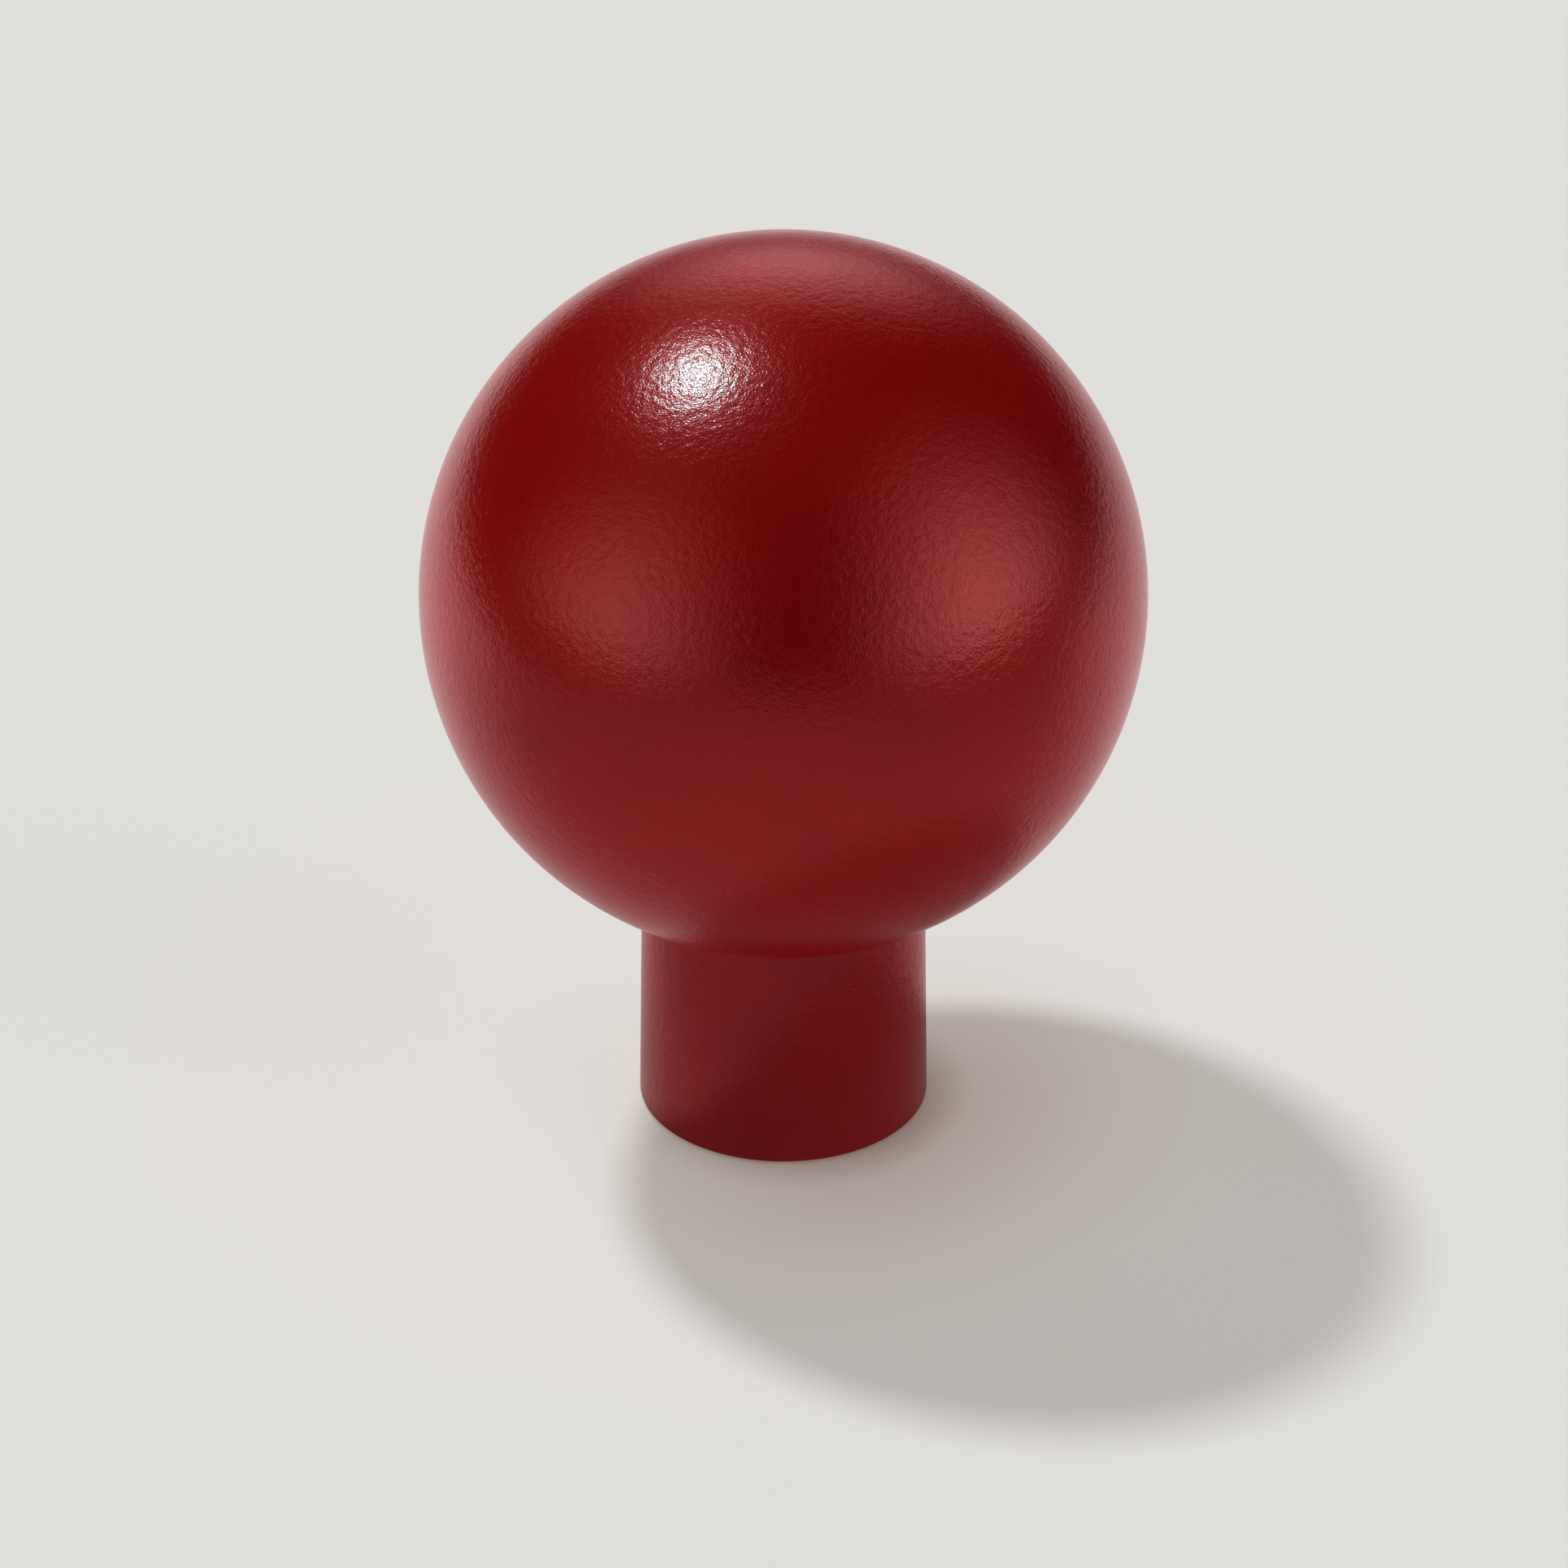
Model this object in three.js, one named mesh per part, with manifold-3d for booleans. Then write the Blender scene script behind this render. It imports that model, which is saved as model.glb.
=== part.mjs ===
// A croquet ball resting in the dished top of its short weighted stand.
// Units are millimetres and +Z is up. The origin is on the floor, under the middle of the foot.
import * as THREE from "three";
import { mergeVertices } from "three/addons/utils/BufferGeometryUtils.js";
import Module from "manifold-3d";

const wasm = await Module();
wasm.setup();

// Driving dimensions
const BALL_DIAMETER = 92; // the size that the game's rules give
const BALL_CENTRE_Z = 73.8;
const SHELL_WALL = 10;
const STAND_TOP_DIAMETER = 36.3;
const STAND_FOOT_DIAMETER = 37.1; // wider than the top by the mould's draft
const STAND_WALL = 3.2;
const DISH_THICKNESS = 3;
const FOOT_LIFT = 0.3; // how far the foot pad holds the stand's edge off the floor
const PAD_THICKNESS = 1;

// Clearances
const FIT = 0.1; // between pieces that are bonded or screwed together
const CORE_FIT = 0.2;
const PAD_TO_BALL = 0.1;
const LIP_TO_BALL = 0.2;

// Facets
const ROUND = 48; // steps in one turn of a turned piece
const BALL_STEP = THREE.MathUtils.degToRad(7.5);
const CORE_STEP = THREE.MathUtils.degToRad(11.25);

const BALL_RADIUS = BALL_DIAMETER / 2;
const SHELL_INNER_RADIUS = BALL_RADIUS - SHELL_WALL;
const DISH_RADIUS = BALL_RADIUS + LIP_TO_BALL;
const BORE_RADIUS = STAND_TOP_DIAMETER / 2 - STAND_WALL;

// Tongue and groove where the two half shells meet
const tongue = { inner: 39.5, outer: 42.5, height: 3 };
const PARTING_GAP = 0.1;

// Felt ring that carries the ball in the dish
const seatPad = { inner: 6, outer: 14.4 };

// Base cover, which carries the ballast on its raised hub
const cover = { bottom: 1, thickness: 2.5, hubRadius: 8, hubTop: 6.5 };
const well = { radius: 4.6, floor: 5 }; // takes the screw's head, below the pad
const SCREW_HOLE_RADIUS = 2.2;

// Central boss under the dish, with a brass insert pressed into its end
const boss = { radius: 4.5, bottom: cover.hubTop + FIT };
const insert = { radius: 2.8, length: 8, knurls: 20, knurlDepth: 0.15 };
const pilot = { radius: 2.2, top: 19 };

const ballast = { inner: boss.radius + 0.2, outer: 13.5, bottom: cover.hubTop + FIT, height: 16 };
const cushion = { inner: 5.2, outer: 12, height: 1.9 };
// Ribs that centre the ballast
const rib = { count: 6, thickness: 1.6, inner: 13.8, bottom: 3.6, top: 24 };

const screw = { shankRadius: 2, length: 12, headRadius: 3.8, headHeight: 2.2 };
const socket = { radius: 1.45, depth: 1.3 }; // hexagonal, in the screw's head
const washer = { inner: 2.1, outer: 3.8, thickness: 0.9, slit: THREE.MathUtils.degToRad(14) };

const footPad = { radius: 16.7, edge: 0.25 };

// Materials
const redMoulded = new THREE.MeshStandardMaterial({ color: 0x7a0c12, roughness: 0.38, metalness: 0 });
const corkRubber = new THREE.MeshStandardMaterial({ color: 0x8a5a3a, roughness: 0.9, metalness: 0 });
const greyFelt = new THREE.MeshStandardMaterial({ color: 0x3a3230, roughness: 1, metalness: 0 });
const blackRubber = new THREE.MeshStandardMaterial({ color: 0x1c1c1d, roughness: 0.85, metalness: 0 });
const blackMoulded = new THREE.MeshStandardMaterial({ color: 0x242425, roughness: 0.6, metalness: 0 });
const greyFoam = new THREE.MeshStandardMaterial({ color: 0x55575a, roughness: 1, metalness: 0 });
const zincSteel = new THREE.MeshStandardMaterial({ color: 0xb4b6b8, roughness: 0.35, metalness: 1 });
const brass = new THREE.MeshStandardMaterial({ color: 0xc9a24e, roughness: 0.3, metalness: 1 });

const point = (radius, height) => new THREE.Vector2(radius, height);

// Points on a circle about the axis, between two angles measured from straight down.
function arc(radius, from, to, step, centre = 0) {
  const steps = Math.max(1, Math.round(Math.abs(to - from) / step));
  return Array.from({ length: steps + 1 }, (_, i) => {
    const angle = from + ((to - from) * i) / steps;
    return point(radius * Math.sin(angle), centre - radius * Math.cos(angle));
  });
}

// A profile in the radius-height plane turned about +Z. It runs with the material on its left.
function turned(profile) {
  return new THREE.LatheGeometry(profile, ROUND).rotateX(Math.PI / 2);
}

// A turned ring, whose profile closes on itself.
function turnedRing(profile) {
  return turned([...profile, profile[0].clone()]);
}

// An upright prism of a flat outline.
function prism(shape, height) {
  return new THREE.ExtrudeGeometry(shape, { depth: height, bevelEnabled: false, curveSegments: ROUND / 2 });
}

function solidOf(geometry) {
  const bare = geometry.index ? geometry.toNonIndexed() : geometry.clone();
  bare.deleteAttribute("normal");
  bare.deleteAttribute("uv");
  const merged = mergeVertices(bare, 1e-4);
  const vertProperties = merged.attributes.position.array;
  const triVerts = new Uint32Array(merged.index.array);
  return new wasm.Manifold(new wasm.Mesh({ numProp: 3, vertProperties, triVerts }));
}

function geometryOf(solid) {
  const mesh = solid.getMesh();
  const geometry = new THREE.BufferGeometry();
  geometry.setAttribute("position", new THREE.BufferAttribute(mesh.vertProperties, 3));
  geometry.setIndex(new THREE.BufferAttribute(mesh.triVerts, 1));
  geometry.computeVertexNormals();
  return geometry;
}

// Solid ball of cork and rubber, moulded in one piece.
function coreGeometry() {
  return turned(arc(SHELL_INNER_RADIUS - CORE_FIT, 0, Math.PI, CORE_STEP));
}

// Lower half shell, open upwards, with the groove in its parting face.
function lowerShellGeometry() {
  const face = -PARTING_GAP / 2;
  const toFace = (radius) => Math.acos(-face / radius);
  return turned([
    ...arc(BALL_RADIUS, 0, toFace(BALL_RADIUS), BALL_STEP),
    point(tongue.outer + FIT, face),
    point(tongue.outer + FIT, face - tongue.height - FIT),
    point(tongue.inner - FIT, face - tongue.height - FIT),
    point(tongue.inner - FIT, face),
    ...arc(SHELL_INNER_RADIUS, toFace(SHELL_INNER_RADIUS), 0, CORE_STEP),
  ]);
}

// Upper half shell, open downwards, with the tongue under its parting face.
function upperShellGeometry() {
  const face = PARTING_GAP / 2;
  const fromFace = (radius) => Math.PI - Math.acos(face / radius);
  return turned([
    ...arc(SHELL_INNER_RADIUS, Math.PI, fromFace(SHELL_INNER_RADIUS), CORE_STEP),
    point(tongue.inner, face),
    point(tongue.inner, face - tongue.height),
    point(tongue.outer, face - tongue.height),
    point(tongue.outer, face),
    ...arc(BALL_RADIUS, fromFace(BALL_RADIUS), Math.PI, BALL_STEP),
  ]);
}

// Arc of the dish, or of a surface beside it, between two distances from the axis.
function dishArc(radius, fromAxis, toAxis) {
  const angleAt = (distance) => Math.asin(distance / radius);
  return arc(radius, angleAt(fromAxis), angleAt(toAxis), BALL_STEP / 2, BALL_CENTRE_Z);
}

// Stand: an outer wall and a central boss under a dished top, with upright ribs inside the wall.
function standBodyGeometry() {
  const topRadius = STAND_TOP_DIAMETER / 2;
  const footRadius = STAND_FOOT_DIAMETER / 2;
  const lipWidth = 0.25;
  const footEdge = 0.4;
  const recess = { inner: seatPad.inner - FIT, outer: seatPad.outer + FIT };
  const recessFloor = BALL_RADIUS + PAD_TO_BALL + PAD_THICKNESS + FIT / 2;
  const underside = DISH_RADIUS + DISH_THICKNESS;
  const lip = dishArc(DISH_RADIUS, topRadius - lipWidth, recess.outer);
  const body = solidOf(turned([
    point(0, pilot.top),
    point(pilot.radius, pilot.top),
    point(pilot.radius, boss.bottom + insert.length + FIT),
    point(insert.radius + FIT, boss.bottom + insert.length + FIT),
    point(insert.radius + FIT, boss.bottom),
    point(boss.radius, boss.bottom),
    ...dishArc(underside, boss.radius, BORE_RADIUS),
    point(BORE_RADIUS, cover.bottom),
    point(footPad.radius + FIT, cover.bottom),
    point(footPad.radius + FIT, FOOT_LIFT),
    point(footRadius - footEdge, FOOT_LIFT),
    point(footRadius, FOOT_LIFT + footEdge),
    point(topRadius, lip[0].y),
    ...lip,
    ...dishArc(recessFloor, recess.outer, recess.inner),
    ...dishArc(DISH_RADIUS, recess.inner, 0),
  ]));
  const ribGeometry = () => {
    const depth = BORE_RADIUS + 1 - rib.inner; // reaches into the wall
    const box = new THREE.BoxGeometry(depth, rib.thickness, rib.top - rib.bottom);
    return box.translate(rib.inner + depth / 2, 0, (rib.top + rib.bottom) / 2);
  };
  const ribs = Array.from({ length: rib.count }, (_, i) =>
    solidOf(ribGeometry().rotateZ((2 * Math.PI * i) / rib.count)));
  return geometryOf(ribs.reduce((joined, one) => joined.add(one), body));
}

// Ring of felt, cupped to the ball.
function seatPadGeometry() {
  const top = BALL_RADIUS + PAD_TO_BALL;
  return turnedRing([
    ...dishArc(top + PAD_THICKNESS, seatPad.inner, seatPad.outer),
    ...dishArc(top, seatPad.outer, seatPad.inner),
  ]);
}

// Brass insert with a straight knurl round it.
function insertGeometry() {
  const outline = new THREE.Shape();
  for (let i = 0; i < 2 * insert.knurls; i++) {
    const radius = insert.radius - (i % 2) * insert.knurlDepth;
    const angle = (Math.PI * i) / insert.knurls;
    outline[i ? "lineTo" : "moveTo"](radius * Math.cos(angle), radius * Math.sin(angle));
  }
  outline.closePath();
  outline.holes.push(new THREE.Path().absarc(0, 0, screw.shankRadius + FIT / 2, 0, 2 * Math.PI, true));
  return prism(outline, insert.length);
}

// Steel ring with chamfered edges.
function ballastGeometry() {
  const chamfer = 0.8;
  return turnedRing([
    point(ballast.inner, chamfer),
    point(ballast.inner + chamfer, 0),
    point(ballast.outer - chamfer, 0),
    point(ballast.outer, chamfer),
    point(ballast.outer, ballast.height - chamfer),
    point(ballast.outer - chamfer, ballast.height),
    point(ballast.inner + chamfer, ballast.height),
    point(ballast.inner, ballast.height - chamfer),
  ]);
}

// Foam ring that keeps the ballast from rattling.
function cushionGeometry() {
  return turnedRing([
    point(cushion.inner, 0),
    point(cushion.outer, 0),
    point(cushion.outer, cushion.height),
    point(cushion.inner, cushion.height),
  ]);
}

// Cover that closes the bore, with a well in its underside for the screw's head.
function coverGeometry() {
  const rim = BORE_RADIUS - FIT;
  const chamfer = 0.4;
  return turnedRing([
    point(SCREW_HOLE_RADIUS, well.floor),
    point(well.radius, well.floor),
    point(well.radius, cover.bottom),
    point(rim, cover.bottom),
    point(rim, cover.bottom + cover.thickness - chamfer),
    point(rim - chamfer, cover.bottom + cover.thickness),
    point(cover.hubRadius, cover.bottom + cover.thickness),
    point(cover.hubRadius, cover.hubTop),
    point(SCREW_HOLE_RADIUS, cover.hubTop),
  ]);
}

// Split washer, a flat ring with one radial slit.
function washerGeometry() {
  const from = washer.slit / 2;
  const to = 2 * Math.PI - washer.slit / 2;
  const outline = new THREE.Shape();
  outline.absarc(0, 0, washer.outer, from, to, false);
  outline.absarc(0, 0, washer.inner, to, from, true);
  outline.closePath();
  return prism(outline, washer.thickness);
}

// Button-head screw, head down, with a hexagonal socket. Its origin is under the head.
function screwGeometry() {
  const crown = 0.9;
  const tip = 0.5;
  const body = solidOf(turned([
    point(0, -screw.headHeight),
    point(screw.headRadius - crown - 0.4, -screw.headHeight),
    point(screw.headRadius - 0.35, -screw.headHeight + crown),
    point(screw.headRadius, -0.5),
    point(screw.headRadius, 0),
    point(screw.shankRadius, 0),
    point(screw.shankRadius, screw.length - tip),
    point(screw.shankRadius - tip, screw.length),
    point(0, screw.length),
  ]));
  const hex = new THREE.CylinderGeometry(socket.radius, socket.radius, 2 * socket.depth, 6);
  hex.rotateX(Math.PI / 2).translate(0, 0, -screw.headHeight);
  return geometryOf(body.subtract(solidOf(hex)));
}

// Disc of rubber that the stand rests on, bevelled round its lower edge.
function footPadGeometry() {
  const top = cover.bottom - FIT / 2;
  return turned([
    point(0, 0),
    point(footPad.radius - footPad.edge, 0),
    point(footPad.radius, footPad.edge),
    point(footPad.radius, top),
    point(0, top),
  ]);
}

function piece(name, geometry, material, z = 0) {
  const mesh = new THREE.Mesh(geometry, material);
  mesh.name = name;
  mesh.position.z = z;
  return mesh;
}

const ball = new THREE.Group();
ball.position.z = BALL_CENTRE_Z;
ball.add(
  piece("ball_core", coreGeometry(), corkRubber),
  piece("ball_shell_lower", lowerShellGeometry(), redMoulded),
  piece("ball_shell_upper", upperShellGeometry(), redMoulded),
);

const washerTop = well.floor - FIT / 2;
const headTop = washerTop - washer.thickness - FIT / 2;
const stand = new THREE.Group();
stand.add(
  piece("stand_body", standBodyGeometry(), redMoulded),
  piece("seat_pad", seatPadGeometry(), greyFelt),
  piece("threaded_insert", insertGeometry(), brass, boss.bottom + FIT / 2),
  piece("ballast_ring", ballastGeometry(), zincSteel, ballast.bottom),
  piece("ballast_cushion", cushionGeometry(), greyFoam, ballast.bottom + ballast.height + FIT),
  piece("base_cover", coverGeometry(), blackMoulded),
  piece("lock_washer", washerGeometry(), zincSteel, washerTop - washer.thickness),
  piece("base_screw", screwGeometry(), zincSteel, headTop),
  piece("foot_pad", footPadGeometry(), blackRubber),
);

const croquetBallOnStand = new THREE.Group();
croquetBallOnStand.add(ball, stand);

export default croquetBallOnStand;
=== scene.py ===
import math

import bmesh
import bpy
from mathutils import Matrix, Vector


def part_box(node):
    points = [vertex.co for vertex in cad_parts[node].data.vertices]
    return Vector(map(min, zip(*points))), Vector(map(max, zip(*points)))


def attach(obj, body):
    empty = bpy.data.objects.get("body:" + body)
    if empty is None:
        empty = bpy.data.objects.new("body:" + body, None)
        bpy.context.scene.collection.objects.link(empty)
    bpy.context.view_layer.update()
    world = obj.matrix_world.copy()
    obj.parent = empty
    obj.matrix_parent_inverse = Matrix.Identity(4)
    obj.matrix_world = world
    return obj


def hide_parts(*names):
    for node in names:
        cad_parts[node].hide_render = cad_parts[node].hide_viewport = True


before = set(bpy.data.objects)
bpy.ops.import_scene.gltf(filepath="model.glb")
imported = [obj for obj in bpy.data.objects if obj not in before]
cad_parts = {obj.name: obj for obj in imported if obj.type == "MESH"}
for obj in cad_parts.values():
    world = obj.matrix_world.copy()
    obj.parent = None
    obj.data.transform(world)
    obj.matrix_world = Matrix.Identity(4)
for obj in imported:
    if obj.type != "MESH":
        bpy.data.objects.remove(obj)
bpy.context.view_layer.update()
mm = 0.001

# The places that every piece is measured from
lowerShellLow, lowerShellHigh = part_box("ball_shell_lower")
upperShellLow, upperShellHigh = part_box("ball_shell_upper")
standLow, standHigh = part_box("stand_body")
coverLow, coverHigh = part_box("base_cover")
ballRadius = (upperShellHigh.x - upperShellLow.x) / 2
ballHeight = (lowerShellLow.z + upperShellHigh.z) / 2  # of the ball's centre


# Shader helpers

def addNode(tree, kind, values=None, **settings):
    node = tree.nodes.new(kind)
    for name, value in settings.items():
        setattr(node, name, value)
    for socket, value in (values or {}).items():
        node.inputs[socket].default_value = value
    return node


def calculate(tree, operation, *terms):
    node = addNode(tree, "ShaderNodeMath", operation=operation)
    for socket, term in zip(node.inputs, terms):
        if isinstance(term, (int, float)):
            socket.default_value = term
        else:
            tree.links.new(term, socket)
    return node.outputs[0]


def spread(tree, value, low, high, fromLow=0.0, fromHigh=1.0, smooth=False):
    node = addNode(tree, "ShaderNodeMapRange", {1: fromLow, 2: fromHigh, 3: low, 4: high})
    node.interpolation_type = "SMOOTHSTEP" if smooth else "LINEAR"
    tree.links.new(value, node.inputs[0])
    return node.outputs[0]


def colourRamp(tree, factor, *stops):
    node = addNode(tree, "ShaderNodeValToRGB")
    elements = node.color_ramp.elements
    while len(elements) < len(stops):
        elements.new(1.0)
    for element, (position, colour) in zip(elements, stops):
        element.position = position
        element.color = (*colour, 1)
    tree.links.new(factor, node.inputs[0])
    return node.outputs[0]


def noise(tree, place, scale, detail=2.0, roughness=0.5, **values):
    values = {"Scale": scale, "Detail": detail, "Roughness": roughness, **values}
    node = addNode(tree, "ShaderNodeTexNoise", values)
    tree.links.new(place, node.inputs["Vector"])
    return node.outputs["Fac"]


def bump(tree, height, distance, normal=None):
    node = addNode(tree, "ShaderNodeBump")
    tree.links.new(height, node.inputs["Height"])
    if isinstance(distance, (int, float)):
        node.inputs["Distance"].default_value = distance
    else:
        tree.links.new(distance, node.inputs["Distance"])
    if normal:
        tree.links.new(normal, node.inputs["Normal"])
    return node.outputs["Normal"]


def newGroup(name, inputs, outputs):
    group = bpy.data.node_groups.new(name, "ShaderNodeTree")
    for label, kind in inputs.items():
        group.interface.new_socket(name=label, in_out="INPUT", socket_type=kind)
    for label, kind in outputs.items():
        group.interface.new_socket(name=label, in_out="OUTPUT", socket_type=kind)
    start = group.nodes.new("NodeGroupInput")
    end = group.nodes.new("NodeGroupOutput")
    place = group.nodes.new("ShaderNodeTexCoord").outputs["Object"]
    return group, start.outputs, end.inputs, place


def useGroup(tree, group, **values):
    node = tree.nodes.new("ShaderNodeGroup")
    node.node_tree = group
    for label, value in values.items():
        node.inputs[label].default_value = value
    return node.outputs


def newMaterial(name, **values):
    material = bpy.data.materials.new(name)
    material.use_nodes = True
    tree = material.node_tree
    shader = tree.nodes["Principled BSDF"]
    for label, value in values.items():
        shader.inputs[label.replace("_", " ")].default_value = value
    place = tree.nodes.new("ShaderNodeTexCoord").outputs["Object"]
    return material, tree, shader.inputs, place


# Surface effects that several materials use

valueSocket, normalSocket = "NodeSocketFloat", "NodeSocketVector"


def makeOrangePeel():
    # sprayed or moulded skin: a fine grain on top of slow ripples
    inputs = {name: valueSocket for name in ("GrainScale", "GrainDepth", "RippleScale", "RippleDepth")}
    tree, given, out, place = newGroup("OrangePeel", inputs, {"Normal": normalSocket, "Mottle": valueSocket})
    ripple = noise(tree, place, 1.0, 2.0, 0.55)
    grain = noise(tree, place, 1.0, 1.0, 0.5)
    tree.links.new(given["RippleScale"], ripple.node.inputs["Scale"])
    tree.links.new(given["GrainScale"], grain.node.inputs["Scale"])
    rippled = bump(tree, ripple, given["RippleDepth"])
    tree.links.new(bump(tree, grain, given["GrainDepth"], rippled), out["Normal"])
    tree.links.new(ripple, out["Mottle"])
    return tree


def makeTurningMarks():
    # fine rings that a lathe tool leaves round the upright axis
    inputs = {"Pitch": valueSocket, "Depth": valueSocket}
    tree, given, out, place = newGroup("TurningMarks", inputs, {"Normal": normalSocket, "Mask": valueSocket})
    parts = addNode(tree, "ShaderNodeSeparateXYZ")
    tree.links.new(place, parts.inputs[0])
    squares = [calculate(tree, "MULTIPLY", parts.outputs[axis], parts.outputs[axis]) for axis in (0, 1)]
    fromAxis = calculate(tree, "POWER", calculate(tree, "ADD", *squares), 0.5)
    travel = calculate(tree, "ADD", fromAxis, parts.outputs[2])
    rings = noise(tree, place, 1.0, 3.0, 0.6)
    rings.node.noise_dimensions = "1D"
    tree.links.new(calculate(tree, "DIVIDE", travel, given["Pitch"]), rings.node.inputs["W"])
    tree.links.new(bump(tree, rings, given["Depth"]), out["Normal"])
    tree.links.new(rings, out["Mask"])
    return tree


def makeMouldGrain():
    # etched grain of a moulded part, with small scuffs between
    inputs = {"Scale": valueSocket, "Depth": valueSocket}
    tree, given, out, place = newGroup("MouldGrain", inputs, {"Normal": normalSocket, "Mask": valueSocket})
    cells = addNode(tree, "ShaderNodeTexVoronoi", feature="SMOOTH_F1")
    cells.inputs["Smoothness"].default_value = 0.6
    tree.links.new(place, cells.inputs["Vector"])
    tree.links.new(given["Scale"], cells.inputs["Scale"])
    scuffs = noise(tree, place, 400.0, 4.0, 0.6)
    tree.links.new(bump(tree, cells.outputs["Distance"], given["Depth"]), out["Normal"])
    tree.links.new(scuffs, out["Mask"])
    return tree


orangePeel = makeOrangePeel()
turningMarks = makeTurningMarks()
mouldGrain = makeMouldGrain()


# Materials

redFinish = {  # a red base under a clear coat
    "metallic": 0.49, "roughness": 0.33, "roughnessSpread": 0.03, "edgeTint": (1, 0.2, 0.2, 1),
    "coatRoughness": 0.205, "coatIor": 1.49,
    "grainScale": 4400, "grainDepth": 0.033 * mm,
    "rippleScale": 950, "rippleDepth": 0.085 * mm,
}


def makeRed(name, deep, bright):
    material, tree, shader, place = newMaterial(
        name, Metallic=redFinish["metallic"], Specular_IOR_Level=0.0,
        Specular_Tint=redFinish["edgeTint"],
        Coat_Weight=1.0, Coat_Roughness=redFinish["coatRoughness"], Coat_IOR=redFinish["coatIor"])
    skin = useGroup(
        tree, orangePeel, GrainScale=redFinish["grainScale"], GrainDepth=redFinish["grainDepth"],
        RippleScale=redFinish["rippleScale"], RippleDepth=redFinish["rippleDepth"])
    clouds = noise(tree, place, 60.0, 3.0, 0.55)
    tree.links.new(colourRamp(tree, clouds, (0.35, deep), (0.65, bright)), shader["Base Color"])
    smoothest = redFinish["roughness"] - redFinish["roughnessSpread"]
    roughest = redFinish["roughness"] + redFinish["roughnessSpread"]
    tree.links.new(spread(tree, skin["Mottle"], smoothest, roughest), shader["Roughness"])
    tree.links.new(skin["Normal"], shader["Normal"])
    tree.links.new(skin["Normal"], shader["Coat Normal"])
    return material


def makeCorkRubber():
    material, tree, shader, place = newMaterial("corkRubber", Specular_IOR_Level=0.35)
    granules = addNode(tree, "ShaderNodeTexVoronoi", {"Scale": 620.0, "Randomness": 1.0})
    tree.links.new(place, granules.inputs["Vector"])
    tint = addNode(tree, "ShaderNodeSeparateColor")
    tree.links.new(granules.outputs["Color"], tint.inputs[0])
    colour = colourRamp(tree, tint.outputs[0], (0.0, (0.055, 0.026, 0.012)), (0.45, (0.20, 0.095, 0.042)),
                        (0.8, (0.34, 0.19, 0.09)), (1.0, (0.47, 0.30, 0.16)))
    tree.links.new(colour, shader["Base Color"])
    pores = noise(tree, place, 2600.0, 4.0, 0.6)
    tree.links.new(spread(tree, pores, 0.7, 0.95), shader["Roughness"])
    cells = bump(tree, granules.outputs["Distance"], -0.12 * mm)
    tree.links.new(bump(tree, pores, 0.05 * mm, cells), shader["Normal"])
    return material


def makeFelt():
    material, tree, shader, place = newMaterial(
        "woolFelt", Roughness=0.95, Specular_IOR_Level=0.1, Sheen_Weight=0.35, Sheen_Roughness=0.45)
    shader["Sheen Tint"].default_value = (0.8, 0.76, 0.74, 1)
    fibres = noise(tree, place, 1800.0, 6.0, 0.75, Distortion=3.0)
    clumps = noise(tree, place, 420.0, 3.0, 0.6)
    # the tone differs at random and is darker where the bump is low: random tone and painted shade in the
    # hollows
    mixed = calculate(tree, "MULTIPLY", calculate(tree, "ADD", fibres, clumps), 0.5)
    colour = colourRamp(tree, mixed, (0.35, (0.016, 0.013, 0.013)), (0.55, (0.045, 0.037, 0.035)),
                        (0.7, (0.10, 0.085, 0.08)))
    tree.links.new(colour, shader["Base Color"])
    matted = bump(tree, clumps, 0.25 * mm)
    tree.links.new(bump(tree, fibres, 0.12 * mm, matted), shader["Normal"])
    return material


def makeMetal(name, dull, bright, pitch, depth, roughness):
    material, tree, shader, place = newMaterial(name, Metallic=1.0)
    marks = useGroup(tree, turningMarks, Pitch=pitch, Depth=depth)
    clouds = noise(tree, place, 300.0, 4.0, 0.65)
    tree.links.new(colourRamp(tree, clouds, (0.3, dull), (0.7, bright)), shader["Base Color"])
    ringed = spread(tree, marks["Mask"], -0.05, 0.05)
    worn = spread(tree, clouds, roughness - 0.06, roughness + 0.08)
    tree.links.new(calculate(tree, "ADD", ringed, worn), shader["Roughness"])
    tree.links.new(marks["Normal"], shader["Normal"])
    return material


def makeFoam():
    material, tree, shader, place = newMaterial("closedCellFoam", Roughness=0.95, Specular_IOR_Level=0.2)
    cells = addNode(tree, "ShaderNodeTexVoronoi", {"Scale": 2600.0})
    tree.links.new(place, cells.inputs["Vector"])
    fromCell = cells.outputs["Distance"]
    # darker in each cell's hollow, where the bump sinks: painted shade
    colour = colourRamp(tree, fromCell, (0.0, (0.05, 0.053, 0.056)), (0.8, (0.14, 0.145, 0.15)))
    tree.links.new(colour, shader["Base Color"])
    tree.links.new(bump(tree, fromCell, 0.2 * mm), shader["Normal"])
    return material


def makeMoulded(name, dark, scuffed, scale, depth, roughness):
    material, tree, shader, place = newMaterial(name, Specular_IOR_Level=0.4)
    grain = useGroup(tree, mouldGrain, Scale=scale, Depth=depth)
    tree.links.new(colourRamp(tree, grain["Mask"], (0.35, dark), (0.75, scuffed)), shader["Base Color"])
    tree.links.new(spread(tree, grain["Mask"], roughness - 0.1, roughness + 0.08), shader["Roughness"])
    tree.links.new(grain["Normal"], shader["Normal"])
    return material


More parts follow.
